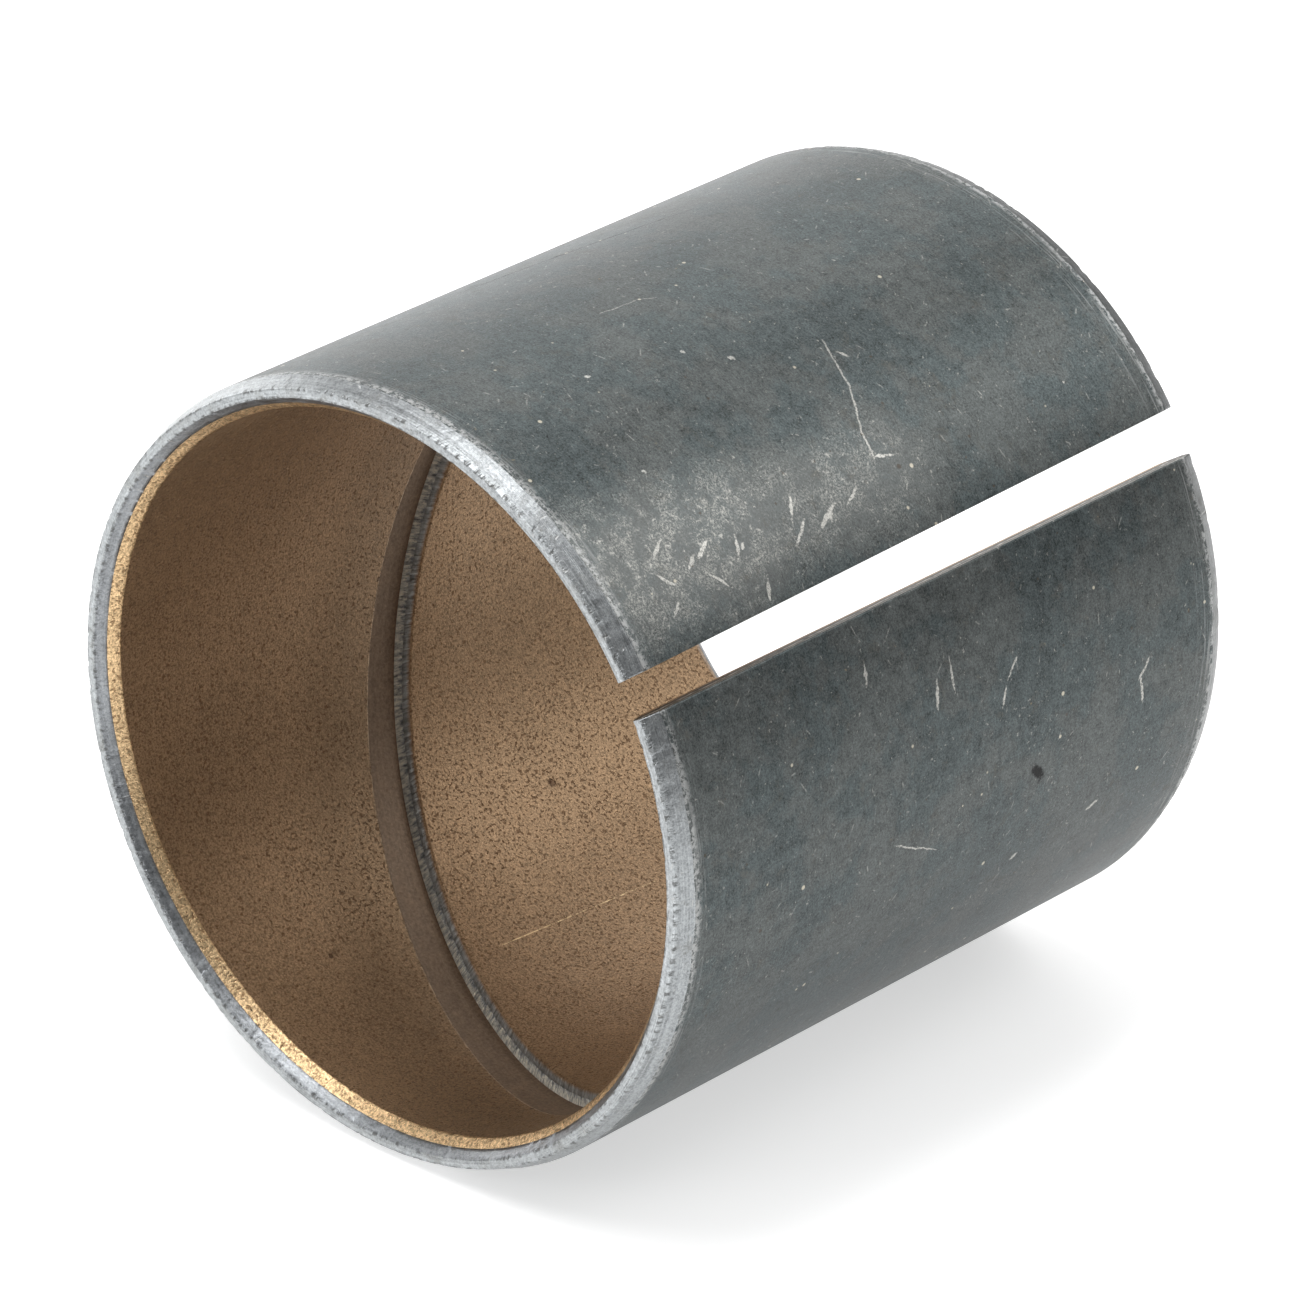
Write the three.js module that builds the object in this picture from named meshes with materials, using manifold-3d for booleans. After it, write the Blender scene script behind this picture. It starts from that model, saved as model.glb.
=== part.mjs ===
// Split, rolled bimetal sleeve bushing: a steel backing shell with a sintered bronze lining,
// an open axial seam and a pressed helical oil groove. Millimetres, +Z up.
// The bushing lies on its side: the bore axis is the Y axis, the origin is on the axis at
// mid-length, and the front end faces -Y. Angles are in degrees about Y, from +X towards +Z.

import * as THREE from 'three';
import { mergeVertices } from 'three/addons/utils/BufferGeometryUtils.js';
import Module from 'manifold-3d';

// Envelope, in the free state before the bushing is pressed into its housing
const OUTER_RADIUS = 30.5;
const WALL = 2.5;
const LENGTH = 60.6;
const LINING = 0.6; // thickness of the bronze

// Free-state shape: the rolled shell is slightly oval and slightly three-lobed
const OVAL = { amplitude: 0.19, lobes: 2, at: 92 };
const TRILOBE = { amplitude: 0.08, lobes: 3, at: 48 };

// End chamfers: axial length and radial depth
const FRONT_OUTER_CHAMFER = { axial: 1.6, radial: 0.6 };
const REAR_OUTER_CHAMFER = { axial: 1.2, radial: 0.45 };
const INNER_CHAMFER = { axial: 1.6, radial: 1.2 };

// Seam: the lower lip is parallel to the axis, the upper lip runs slightly off it
const LOWER_LIP_ANGLE = 27.9;
const UPPER_LIP_FRONT_ANGLE = 33.5;
const UPPER_LIP_REAR_ANGLE = 35.0;

// Oil groove, pressed through the lining along a helix; it stops short of both ends
const GROOVE_DEPTH = 1.2;
const GROOVE_WIDTH = 4.6; // along Y, at the bore
const GROOVE_FLOOR_WIDTH = 3.2; // along Y, at the floor
const GROOVE_LEAD = 76; // axial travel in one full turn
const GROOVE_MIDDLE_ANGLE = 191.6; // where the groove crosses mid-length
const GROOVE_SPAN = 236; // angle from one end of the groove to the other
const GROOVE_FLOOR_SKIN = 0.35; // bronze left on the floor, squeezed thin

const BOND_GAP = 0.05; // modelling clearance between the bonded layers
const SEGMENTS = 120; // facets round the shell
const GROOVE_STEPS = 60;

const BORE_RADIUS = OUTER_RADIUS - WALL;
const LINING_RADIUS = BORE_RADIUS + LINING;
const HALF = LENGTH / 2;

const radians = THREE.MathUtils.degToRad;
const wasm = await Module();
wasm.setup();

function freeStateOffset(angle) {
  const wave = ({ amplitude, lobes, at }) => amplitude * Math.cos(lobes * (angle - radians(at)));
  return wave(OVAL) + wave(TRILOBE);
}

// Places a point by its angle, its distance from the axis in a round shell, and its height on Y.
function onShell(angle, radius, y) {
  const r = radius + freeStateOffset(angle);
  return new THREE.Vector3(r * Math.cos(angle), y, r * Math.sin(angle));
}

function reshape(geometry, move) {
  const position = geometry.getAttribute('position');
  const point = new THREE.Vector3();
  for (let i = 0; i < position.count; i += 1) {
    point.fromBufferAttribute(position, i);
    const moved = move(point);
    position.setXYZ(i, moved.x, moved.y, moved.z);
  }
  return geometry;
}

function toSolid(geometry) {
  const bare = geometry.clone();
  bare.deleteAttribute('normal');
  bare.deleteAttribute('uv');
  const merged = mergeVertices(bare, 1e-4);
  return new wasm.Manifold(new wasm.Mesh({
    numProp: 3,
    vertProperties: new Float32Array(merged.getAttribute('position').array),
    triVerts: new Uint32Array(merged.getIndex().array),
  }));
}

function toGeometry(solid) {
  const mesh = solid.getMesh();
  const geometry = new THREE.BufferGeometry();
  geometry.setAttribute('position', new THREE.BufferAttribute(mesh.vertProperties, 3));
  geometry.setIndex(new THREE.BufferAttribute(mesh.triVerts, 1));
  geometry.computeVertexNormals();
  return geometry;
}

// A ring turned round the Y axis, with a flat facet centred under it, in its free-state shape.
function ring(profile) {
  const closed = [...profile, profile[0]].map(([r, y]) => new THREE.Vector2(r, y));
  const halfFacet = Math.PI / SEGMENTS;
  const lathe = new THREE.LatheGeometry(closed, SEGMENTS, halfFacet);
  return reshape(lathe, (p) => onShell(Math.atan2(p.z, p.x), Math.hypot(p.x, p.z), p.y));
}

function seamCutter() {
  const inside = BORE_RADIUS - 6;
  const outside = OUTER_RADIUS + 6;
  const reach = HALF + 5;
  const lipTurn = (UPPER_LIP_REAR_ANGLE - UPPER_LIP_FRONT_ANGLE) / LENGTH;
  return reshape(new THREE.BoxGeometry(1, 1, 1), (p) => {
    const r = p.x > 0 ? outside : inside;
    const y = p.y > 0 ? reach : -reach;
    const upper = UPPER_LIP_FRONT_ANGLE + lipTurn * (y + HALF);
    const angle = radians(p.z > 0 ? upper : LOWER_LIP_ANGLE);
    return new THREE.Vector3(r * Math.cos(angle), y, r * Math.sin(angle));
  });
}

// A band along the helix between two radii. Its sides lean like the groove's walls, moved in by
// the clearance, and both ends are rounded in plan.
function grooveBand(innerRadius, outerRadius, clearance) {
  const sideLean = (GROOVE_WIDTH - GROOVE_FLOOR_WIDTH) / 2 / GROOVE_DEPTH;
  const endRound = radians(5);
  const halfSpan = radians(GROOVE_SPAN / 2) - clearance / BORE_RADIUS;
  const box = new THREE.BoxGeometry(2, 2, 2, GROOVE_STEPS, 1, 1);
  return reshape(box, (p) => {
    const along = halfSpan * Math.sin(p.x * Math.PI / 2);
    const pastStraight = Math.max(0, Math.abs(along) - halfSpan + endRound) / endRound;
    const taper = Math.max(0.15, Math.sqrt(Math.max(0, 1 - pastStraight ** 2)));
    const radius = p.z > 0 ? innerRadius : outerRadius;
    const halfWidth = GROOVE_WIDTH / 2 - sideLean * (radius - BORE_RADIUS) - clearance;
    const middle = -along / (2 * Math.PI) * GROOVE_LEAD;
    const angle = radians(GROOVE_MIDDLE_ANGLE) + along;
    return onShell(angle, radius, middle + p.y * halfWidth * taper);
  });
}

const steelProfile = [
  [LINING_RADIUS, -HALF + INNER_CHAMFER.axial * (1 - LINING / INNER_CHAMFER.radial)],
  [BORE_RADIUS + INNER_CHAMFER.radial, -HALF],
  [OUTER_RADIUS - FRONT_OUTER_CHAMFER.radial, -HALF],
  [OUTER_RADIUS, -HALF + FRONT_OUTER_CHAMFER.axial],
  [OUTER_RADIUS, HALF - REAR_OUTER_CHAMFER.axial],
  [OUTER_RADIUS - REAR_OUTER_CHAMFER.radial, HALF],
  [BORE_RADIUS + INNER_CHAMFER.radial, HALF],
  [LINING_RADIUS, HALF - INNER_CHAMFER.axial * (1 - LINING / INNER_CHAMFER.radial)],
];

const liningOuter = LINING_RADIUS - BOND_GAP;
const liningShare = (liningOuter - BORE_RADIUS) / INNER_CHAMFER.radial;
const liningProfile = [
  [BORE_RADIUS, -HALF + INNER_CHAMFER.axial],
  [liningOuter, -HALF + INNER_CHAMFER.axial * (1 - liningShare)],
  [liningOuter, HALF - INNER_CHAMFER.axial * (1 - liningShare)],
  [BORE_RADIUS, HALF - INNER_CHAMFER.axial],
];

const grooveFloor = BORE_RADIUS + GROOVE_DEPTH;
const pocketRadius = grooveFloor + GROOVE_FLOOR_SKIN + BOND_GAP;
const seam = toSolid(seamCutter());
const pocket = toSolid(grooveBand(BORE_RADIUS - 0.5, pocketRadius, 0));

const backing = toSolid(ring(steelProfile)).subtract(seam).subtract(pocket);
const lining = toSolid(ring(liningProfile)).subtract(seam).subtract(pocket);
const floorBand = grooveBand(grooveFloor, grooveFloor + GROOVE_FLOOR_SKIN, BOND_GAP);

const steel = new THREE.MeshStandardMaterial({ color: 0x5c6367, roughness: 0.45, metalness: 0.9 });
const bronze = new THREE.MeshStandardMaterial({ color: 0x8f6d45, roughness: 0.5, metalness: 0.85 });
const pressedBronze = new THREE.MeshStandardMaterial({
  color: 0x77593a,
  roughness: 0.38,
  metalness: 0.85,
});

function addNode(group, name, geometry, material) {
  const mesh = new THREE.Mesh(geometry, material);
  mesh.name = name;
  group.add(mesh);
}

const bushing = new THREE.Group();
addNode(bushing, 'steel_backing', toGeometry(backing), steel);
addNode(bushing, 'bronze_lining', toGeometry(lining), bronze);
addNode(bushing, 'groove_floor_bronze', floorBand, pressedBronze);

export default bushing;
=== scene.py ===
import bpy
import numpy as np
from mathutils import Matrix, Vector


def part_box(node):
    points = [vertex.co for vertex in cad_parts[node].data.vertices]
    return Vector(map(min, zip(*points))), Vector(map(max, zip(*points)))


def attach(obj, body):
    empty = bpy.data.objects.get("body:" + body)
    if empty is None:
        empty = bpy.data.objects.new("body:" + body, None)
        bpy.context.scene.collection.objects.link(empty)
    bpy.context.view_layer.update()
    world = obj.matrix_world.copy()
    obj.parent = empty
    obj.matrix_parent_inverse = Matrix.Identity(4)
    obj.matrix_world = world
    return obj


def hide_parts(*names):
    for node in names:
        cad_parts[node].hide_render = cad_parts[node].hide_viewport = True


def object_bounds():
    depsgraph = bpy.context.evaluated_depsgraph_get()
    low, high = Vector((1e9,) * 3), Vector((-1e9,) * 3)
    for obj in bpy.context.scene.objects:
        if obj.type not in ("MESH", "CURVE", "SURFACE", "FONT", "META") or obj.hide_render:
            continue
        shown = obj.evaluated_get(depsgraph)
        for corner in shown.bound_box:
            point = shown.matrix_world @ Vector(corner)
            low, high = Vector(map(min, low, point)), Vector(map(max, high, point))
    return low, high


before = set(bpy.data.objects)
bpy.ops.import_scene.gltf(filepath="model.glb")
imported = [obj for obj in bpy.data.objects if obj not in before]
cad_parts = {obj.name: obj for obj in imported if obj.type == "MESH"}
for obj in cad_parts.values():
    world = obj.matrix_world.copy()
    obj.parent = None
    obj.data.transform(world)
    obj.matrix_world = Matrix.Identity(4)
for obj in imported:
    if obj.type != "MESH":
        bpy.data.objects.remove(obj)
cad_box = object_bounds()

# A split bimetal sleeve bushing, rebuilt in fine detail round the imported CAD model: the steel
# backing, the sintered bronze lining and the strip of bronze on the groove's floor. Lengths are in
# millimetres and angles in degrees about Y, from +X towards +Z, unless a name says otherwise.

MM = 0.001  # metres in a millimetre

# Sizes from the frame. The average of the two widths takes the oval out of the radius.
backing_low, backing_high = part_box("steel_backing")
LENGTH = (backing_high.y - backing_low.y) / MM
INSIDE_THE_FACETS = 0.005
OUTER_RADIUS = (
    (backing_high.x - backing_low.x) + (backing_high.z - backing_low.z)
) / 4 / MM - INSIDE_THE_FACETS
HALF = LENGTH / 2

# Sizes repeated from the part's source
WALL = 2.5
LINING = 0.6
OVAL = {"amplitude": 0.19, "lobes": 2, "at": 92}
TRILOBE = {"amplitude": 0.08, "lobes": 3, "at": 48}
FRONT_CHAMFER = {"axial": 1.6, "radial": 0.6}
REAR_CHAMFER = {"axial": 1.2, "radial": 0.45}
INNER_CHAMFER = {"axial": 1.6, "radial": 1.2}
LOWER_LIP_ANGLE = 27.9
UPPER_LIP_FRONT_ANGLE = 33.5
UPPER_LIP_REAR_ANGLE = 35.0
GROOVE_DEPTH = 1.2
GROOVE_WIDTH = 4.6
GROOVE_FLOOR_WIDTH = 3.2
GROOVE_LEAD = 76
GROOVE_MIDDLE_ANGLE = 191.6
GROOVE_SPAN = 236
GROOVE_FLOOR_SKIN = 0.35

BORE_RADIUS = OUTER_RADIUS - WALL
BOND_RADIUS = BORE_RADIUS + LINING
FLOOR_RADIUS = BORE_RADIUS + GROOVE_DEPTH
POCKET_RADIUS = FLOOR_RADIUS + GROOVE_FLOOR_SKIN
FACE_INNER_RADIUS = BORE_RADIUS + INNER_CHAMFER["radial"]
FACE_OUTER_RADIUS = OUTER_RADIUS - FRONT_CHAMFER["radial"]
FACE_MIDDLE_RADIUS = (FACE_INNER_RADIUS + FACE_OUTER_RADIUS) / 2
BOND_GAP = 0.004  # thin enough to read as one strip of metal

# Fine detail of the meshes
LIP_ROUNDING = 0.12
GROOVE_END_ROUND = 5  # degrees over which the groove's ends taper
GROOVE_END_SHARE = 0.15  # width left at the very end
STEP_OUTSIDE_GROOVE = 0.4  # degrees between stations
STEP_ALONG_GROOVE = 0.18
RIDGE_HEIGHT = 0.05
RIDGE_PITCH = 0.34
LIP_COLUMNS = 3
LIP_UNEVENNESS = 0.012
BORE_END_ROUNDING = 0.16
GROOVE_EDGE_ROUNDING = 0.22
SLOT_WALL = 0.02  # height of the slot's own wall, where the lining meets the steel
STRIP_CLEARANCE = 0.012  # between the strip on the groove's floor and the groove's walls
STRIP_EDGE = 0.03  # how much the strip is raised at its edges
STRIP_HOLLOW = 0.02
SHARP_ANGLE = 38  # degrees between faces, above which their edge is drawn sharp


# ---------------------------------------------------------------- seeded unevenness


def wander(at, pitch, seed):
    """Smooth seeded noise from -1 to 1 along a line, with one random value in each pitch."""
    cells = np.asarray(at, float) / pitch
    cells = cells - cells.min()
    values = np.random.default_rng(seed).uniform(-1, 1, int(cells.max()) + 2)
    first = np.floor(cells).astype(int)
    share = cells - first
    share = share * share * (3 - 2 * share)
    return values[first] * (1 - share) + values[first + 1] * share


def dents(at, count, depth, width, seed):
    """Seeded rounded dents along a line: how deep each place is."""
    rng = np.random.default_rng(seed)
    total = np.zeros(len(at))
    for _ in range(count):
        middle = rng.uniform(at[0], at[-1])
        size = rng.uniform(0.35, 1)
        spread = width * rng.uniform(0.4, 1)
        total = np.maximum(total, depth * size * np.exp(-(((at - middle) / spread) ** 2)))
    return total


# ---------------------------------------------------------------- the shell's shape


def make_stations():
    """Angles from the upper lip to the lower one, closer at the lips and along the groove."""
    lip = np.array([0, 0.04, 0.1, 0.18, 0.28, 0.42, 0.65])
    start, end = UPPER_LIP_FRONT_ANGLE, LOWER_LIP_ANGLE + 360
    groove_start = GROOVE_MIDDLE_ANGLE - GROOVE_SPAN / 2
    groove_end = GROOVE_MIDDLE_ANGLE + GROOVE_SPAN / 2
    pieces = [start + lip]
    for low, high, step in (
        (start + 1, groove_start - 0.5, STEP_OUTSIDE_GROOVE),
        (groove_start, groove_end, STEP_ALONG_GROOVE),
        (groove_end + 0.5, end - 1, STEP_OUTSIDE_GROOVE),
    ):
        pieces.append(np.linspace(low, high, int((high - low) / step) + 1))
    pieces.append(end - lip[::-1])
    return np.concatenate(pieces)


STATIONS = make_stations()
AROUND = np.radians(STATIONS) * OUTER_RADIUS  # distance along the outside
AHEAD = STATIONS - GROOVE_MIDDLE_ANGLE
IN_GROOVE = np.abs(AHEAD) <= GROOVE_SPAN / 2 + 1e-6
GROOVE_MIDDLE = -np.clip(AHEAD, -GROOVE_SPAN / 2, GROOVE_SPAN / 2) / 360 * GROOVE_LEAD
FROM_LIP = np.minimum(AROUND - AROUND[0], AROUND[-1] - AROUND)


def free_state_offset(angle):
    """How far the rolled shell is out of round at an angle."""
    offset = 0
    for wave in (OVAL, TRILOBE):
        offset = offset + wave["amplitude"] * np.cos(
            wave["lobes"] * np.radians(angle - wave["at"])
        )
    return offset


def place(radius, y):
    """Points in metres for a row or grid of stations. The upper lip leans a little off the axis."""
    radius, y = np.broadcast_arrays(np.asarray(radius, float), np.asarray(y, float))
    share = (STATIONS - STATIONS[0]) / (STATIONS[-1] - STATIONS[0])
    lean = (UPPER_LIP_REAR_ANGLE - UPPER_LIP_FRONT_ANGLE) * (1 - share) ** 30
    shape = (-1,) + (1,) * (radius.ndim - 1)
    angle = STATIONS.reshape(shape) + lean.reshape(shape) * (y + HALF) / LENGTH
    r = radius + free_state_offset(angle)
    turn = np.radians(angle)
    return np.stack([r * np.cos(turn), y, r * np.sin(turn)], -1) * MM


def groove_half_width(radius):
    """Half the groove's width along Y, at a radius, for each station."""
    past = np.clip((np.abs(AHEAD) - GROOVE_SPAN / 2 + GROOVE_END_ROUND) / GROOVE_END_ROUND, 0, 1)
    taper = np.maximum(GROOVE_END_SHARE, np.sqrt(1 - past**2))
    side_lean = (GROOVE_WIDTH - GROOVE_FLOOR_WIDTH) / 2 / GROOVE_DEPTH
    return (GROOVE_WIDTH / 2 - side_lean * (radius - BORE_RADIUS)) * taper


def wall_ridges(seed):
    """Ridges that the groove die tore across the groove's wall, for each station."""
    coarse = wander(AROUND, RIDGE_PITCH, seed)
    fine = wander(AROUND, RIDGE_PITCH * 0.55, seed + 1)
    strength = 0.7 + 0.3 * wander(AROUND, 9, seed + 2)
    return RIDGE_HEIGHT * strength * (0.7 * coarse + 0.45 * fine) * IN_GROOVE


def section_rows(corners):
    """Rows of one side of the section, (radius, y) for each station and row.

    Each corner is (radius, y, ease, steps, rows): the corner is rounded over the length ease in
    that many steps, and rows more lie on the straight line to the next corner.
    """
    points = []
    for radius, y, *_ in corners:
        radius, y = np.broadcast_arrays(np.asarray(radius, float), np.asarray(y, float), STATIONS)[:2]
        points.append(np.stack([radius, y], -1))
    rows = []
    for i, (_, _, ease, steps, between) in enumerate(corners):
        here = points[i]
        leave = here
        if steps > 1:
            before = points[i - 1] - here
            after = points[i + 1] - here
            before = before / np.maximum(1e-9, np.linalg.norm(before, axis=1, keepdims=True))
            after = after / np.maximum(1e-9, np.linalg.norm(after, axis=1, keepdims=True))
            for t in np.linspace(0, 1, steps):
                rows.append(here + ease * ((1 - t) ** 2 * before + t**2 * after))
            leave = here + ease * after
        else:
            rows.append(here)
        if between:
            following = corners[i + 1]
            arrive = points[i + 1]
            if following[3] > 1:
                back = here - arrive
                back = back / np.maximum(1e-9, np.linalg.norm(back, axis=1, keepdims=True))
                arrive = arrive + following[2] * back
            for k in range(1, between + 1):
                rows.append(leave + (arrive - leave) * k / (between + 1))
    grid = np.stack(rows, 1)
    return grid[..., 0], grid[..., 1]


def lip_rounding():
    """How far the section's outside is drawn in close to the seam, for each station."""
    inside = np.clip(1 - FROM_LIP / LIP_ROUNDING, 0, 1)
    return LIP_ROUNDING * (1 - np.sqrt(1 - inside**2))


# ---------------------------------------------------------------- mesh building


def make_piece(name, points, faces, regions, materials):
    """A closed mesh object from points, faces and the region of each face."""
    used, compact = np.unique(np.concatenate([np.ravel(f) for f in faces]), return_inverse=True)
    tidy = []
    start = 0
    for face in faces:
        corners = compact[start : start + len(face)]
        start += len(face)
        tidy.append([c for k, c in enumerate(corners.tolist()) if c != corners[k - 1]])
    mesh = bpy.data.meshes.new(name)
    mesh.from_pydata(points[used].tolist(), [], tidy)
    mesh.polygons.foreach_set("material_index", np.asarray(regions, np.int32))
    mesh.polygons.foreach_set("use_smooth", np.ones(len(tidy), bool))
    mesh.validate()
    mesh.update()
    for material in materials:
        mesh.materials.append(material)
    mesh.set_sharp_from_angle(angle=np.radians(SHARP_ANGLE))
    piece = bpy.data.objects.new(name, mesh)
    bpy.context.scene.collection.objects.link(piece)
    return piece


class Skin:
    """Collects points and faces of a closed skin, with a region number for each face."""

    def __init__(self):
        self.points = []
        self.count = 0
        self.faces = []
        self.regions = []

    def add_points(self, points):
        flat = points.reshape(-1, 3)
        index = np.arange(self.count, self.count + len(flat)).reshape(points.shape[:-1])
        self.points.append(flat)
        self.count += len(flat)
        return index

    def add_grid(self, index, region, keep=None):
        """Faces of a grid of point numbers. region is one number, or one for each column."""
        corners = np.stack([index[:-1, :-1], index[:-1, 1:], index[1:, 1:], index[1:, :-1]], -1)
        numbers = np.broadcast_to(np.asarray(region), corners.shape[:2])
        if keep is None:
            keep = np.ones(corners.shape[:2], bool)
        self.faces += corners[keep].tolist()
        self.regions += numbers[keep].tolist()

    def piece(self, name, materials):
        return make_piece(
            name, np.concatenate(self.points), self.faces, self.regions, materials
        )


def add_lip(skin, outer, inner, points, region, flip, seed):
    """Closes the shell at one lip with a few columns of faces that are a little uneven."""
    rows = len(outer)
    a, b = points[outer], points[inner]
    rng = np.random.default_rng(seed)
    columns = [outer]
    for k in range(1, LIP_COLUMNS + 1):
        share = k / (LIP_COLUMNS + 1)
        middle = a * (1 - share) + b * share
        uneven = rng.uniform(-1, 1, (rows - 2, 1)) * LIP_UNEVENNESS * MM
        middle[1:-1] += uneven * np.array([0.4, 0, -0.8])
        index = skin.add_points(middle)
        index[0], index[-1] = outer[0], outer[-1]
        columns.append(index)
    columns.append(inner)
    grid = np.stack(columns[::-1] if flip else columns)
    skin.add_grid(grid, region)


def shell_skin(outer_rows, inner_rows, outer_regions, inner_regions, lip_region, seed, hole=None):
    """The closed skin of a split shell from the rows of its outside and its inside.

    Both sides start and end on the same rows. hole is a slot through the wall at the stations
    that are in the groove: its first row, its last row and the region of its wall.
    """
    skin = Skin()
    outer = skin.add_points(place(*outer_rows))
    inner = skin.add_points(place(*inner_rows))
    inner[:, 0], inner[:, -1] = outer[:, 0], outer[:, -1]
    keep = np.ones((len(STATIONS) - 1, outer.shape[1] - 1), bool)
    if hole:
        first_row, last_row, region = hole
        stations = np.nonzero(IN_GROOVE)[0]
        first, last = stations[0], stations[-1]
        keep[first:last, first_row:last_row] = False
        loop = (
            [(i, first_row) for i in range(first, last)]
            + [(last, j) for j in range(first_row, last_row)]
            + [(i, last_row) for i in range(last, first, -1)]
            + [(first, j) for j in range(last_row, first_row, -1)]
        )
        loop = np.array(loop + loop[:1])
        rim = inner[loop[:, 0], loop[:, 1]]
        foot = outer[loop[:, 0], loop[:, 1]]
        skin.add_grid(np.stack([rim, foot]), region)
    skin.add_grid(outer, outer_regions, keep)
    skin.add_grid(inner[:, ::-1], inner_regions[::-1], keep[:, ::-1])
    points = np.concatenate(skin.points)
    add_lip(skin, outer[0], inner[0], points, lip_region, False, seed)
    add_lip(skin, outer[-1], inner[-1], points, lip_region, True, seed + 1)
    return skin


# ---------------------------------------------------------------- the three pieces


def build_backing(materials):
    """The steel shell: chamfered and dented rims, a ragged chamfer edge, and the groove's pocket."""
    rear_outer = OUTER_RADIUS - REAR_CHAMFER["radial"]
    rear_middle = (FACE_INNER_RADIUS + rear_outer) / 2
    drawn_in = lip_rounding()
    ragged = 0.05 * wander(AROUND, 0.45, 11) + 0.06 * wander(AROUND, 2.3, 12)
    ragged_rear = 0.05 * wander(AROUND, 0.5, 13) + 0.05 * wander(AROUND, 2.9, 14)
    front_dents = dents(AROUND, 60, 0.07, 0.3, 21)
    inner_dents = dents(AROUND, 40, 0.06, 0.3, 22)
    rear_dents = dents(AROUND, 55, 0.07, 0.35, 23)
    outside = [
        (FACE_MIDDLE_RADIUS, -HALF, 0, 1, 0),
        (FACE_OUTER_RADIUS - drawn_in - 0.6 * front_dents, -HALF + front_dents, 0.1, 4, 2),
        (OUTER_RADIUS - drawn_in, -HALF + FRONT_CHAMFER["axial"] + ragged, 0.12, 4, 10),
        (OUTER_RADIUS - drawn_in, HALF - REAR_CHAMFER["axial"] + ragged_rear, 0.12, 3, 1),
        (rear_outer - drawn_in - 0.6 * rear_dents, HALF - rear_dents, 0.08, 3, 0),
        (rear_middle, HALF, 0, 1, 0),
    ]
    bond_start = HALF - INNER_CHAMFER["axial"] * (1 - LINING / INNER_CHAMFER["radial"])
    pocket = np.where(IN_GROOVE, POCKET_RADIUS, BOND_RADIUS)
    top = groove_half_width(BOND_RADIUS)
    bottom = groove_half_width(POCKET_RADIUS)
    near, far = wall_ridges(31), wall_ridges(34)
    inside = [
        (FACE_MIDDLE_RADIUS, -HALF, 0, 1, 0),
        (FACE_INNER_RADIUS + 0.4 * inner_dents, -HALF + inner_dents, 0.08, 4, 2),
        (BOND_RADIUS, -bond_start, 0, 1, 1),
        (BOND_RADIUS, GROOVE_MIDDLE - top - near, 0, 1, 3),
        (pocket, GROOVE_MIDDLE - bottom - near, 0, 1, 1),
        (pocket, GROOVE_MIDDLE + bottom + far, 0, 1, 3),
        (BOND_RADIUS, GROOVE_MIDDLE + top + far, 0, 1, 2),
        (BOND_RADIUS, bond_start, 0, 1, 1),
        (FACE_INNER_RADIUS, HALF, 0.08, 3, 1),
        (rear_middle, HALF, 0, 1, 0),
    ]
    outer_rows = section_rows(outside)
    inner_rows = section_rows(inside)
    rows = outer_rows[0].shape[1]
    assert rows == inner_rows[0].shape[1], (rows, inner_rows[0].shape[1])
    body, turned, pressed, sheared = 0, 1, 2, 3
    # The chamfers and the end faces are the first and the last rows of each side
    outer_regions = np.full(rows - 1, body)
    outer_regions[:8] = turned
    outer_regions[-6:] = turned
    inner_regions = np.full(rows - 1, pressed)
    inner_regions[:7] = turned
    inner_regions[-6:] = turned
    skin = shell_skin(outer_rows, inner_rows, outer_regions, inner_regions, sheared, 41)
    return skin.piece("backing_shell", materials)


def build_lining(materials):
    """The bronze lining: its bore, its share of the inner chamfers and the slot over the groove."""
    outer = BOND_RADIUS - BOND_GAP
    bond_share = (outer - BORE_RADIUS) / INNER_CHAMFER["radial"]
    bond_start = HALF - INNER_CHAMFER["axial"] * (1 - bond_share)
    bore_start = HALF - INNER_CHAMFER["axial"]
    near, far = wall_ridges(31), wall_ridges(34)
    edge = groove_half_width(BORE_RADIUS)
    foot = groove_half_width(outer)
    sunk = np.where(IN_GROOVE, outer, BORE_RADIUS)
    bore = BORE_RADIUS + lip_rounding() * 0.6
    inside = [
        (outer, -bond_start, 0, 1, 1),
        (bore, -bore_start, BORE_END_ROUNDING, 4, 4),
        (bore, GROOVE_MIDDLE - edge, GROOVE_EDGE_ROUNDING, 4, 0),
        (sunk, GROOVE_MIDDLE - foot - near, 0, 1, 0),
        (sunk, GROOVE_MIDDLE + foot + far, 0, 1, 0),
        (bore, GROOVE_MIDDLE + edge, GROOVE_EDGE_ROUNDING, 4, 4),
        (bore, bore_start, BORE_END_ROUNDING, 4, 1),
        (outer, bond_start, 0, 1, 0),
    ]
    inner_rows = section_rows(inside)
    rows = inner_rows[0].shape[1]
    # Rows at the foot of the slot, after those of the first three corners
    near_foot = sum(steps + between for _, _, _, steps, between in inside[:3])
    far_foot = near_foot + 1
    outer_rows = (np.full_like(inner_rows[1], outer), inner_rows[1])
    bore_face, turned, torn, sheared = 0, 1, 2, 3
    # Only the front chamfer is bright; the rear one is as dull as the bore
    inner_regions = np.full(rows - 1, bore_face)
    inner_regions[:4] = turned
    inner_regions[near_foot - 2 : near_foot] = torn
    inner_regions[far_foot : far_foot + 2] = torn
    outer_regions = np.full(rows - 1, bore_face)
    hole = (near_foot, far_foot, torn)
    for foot_row in (near_foot, far_foot):
        inner_rows[0][:, foot_row] -= np.where(IN_GROOVE, SLOT_WALL, 0)
    skin = shell_skin(
        outer_rows, inner_rows, outer_regions, inner_regions, sheared, 43, hole
    )
    return skin.piece("lining_shell", materials)


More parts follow.
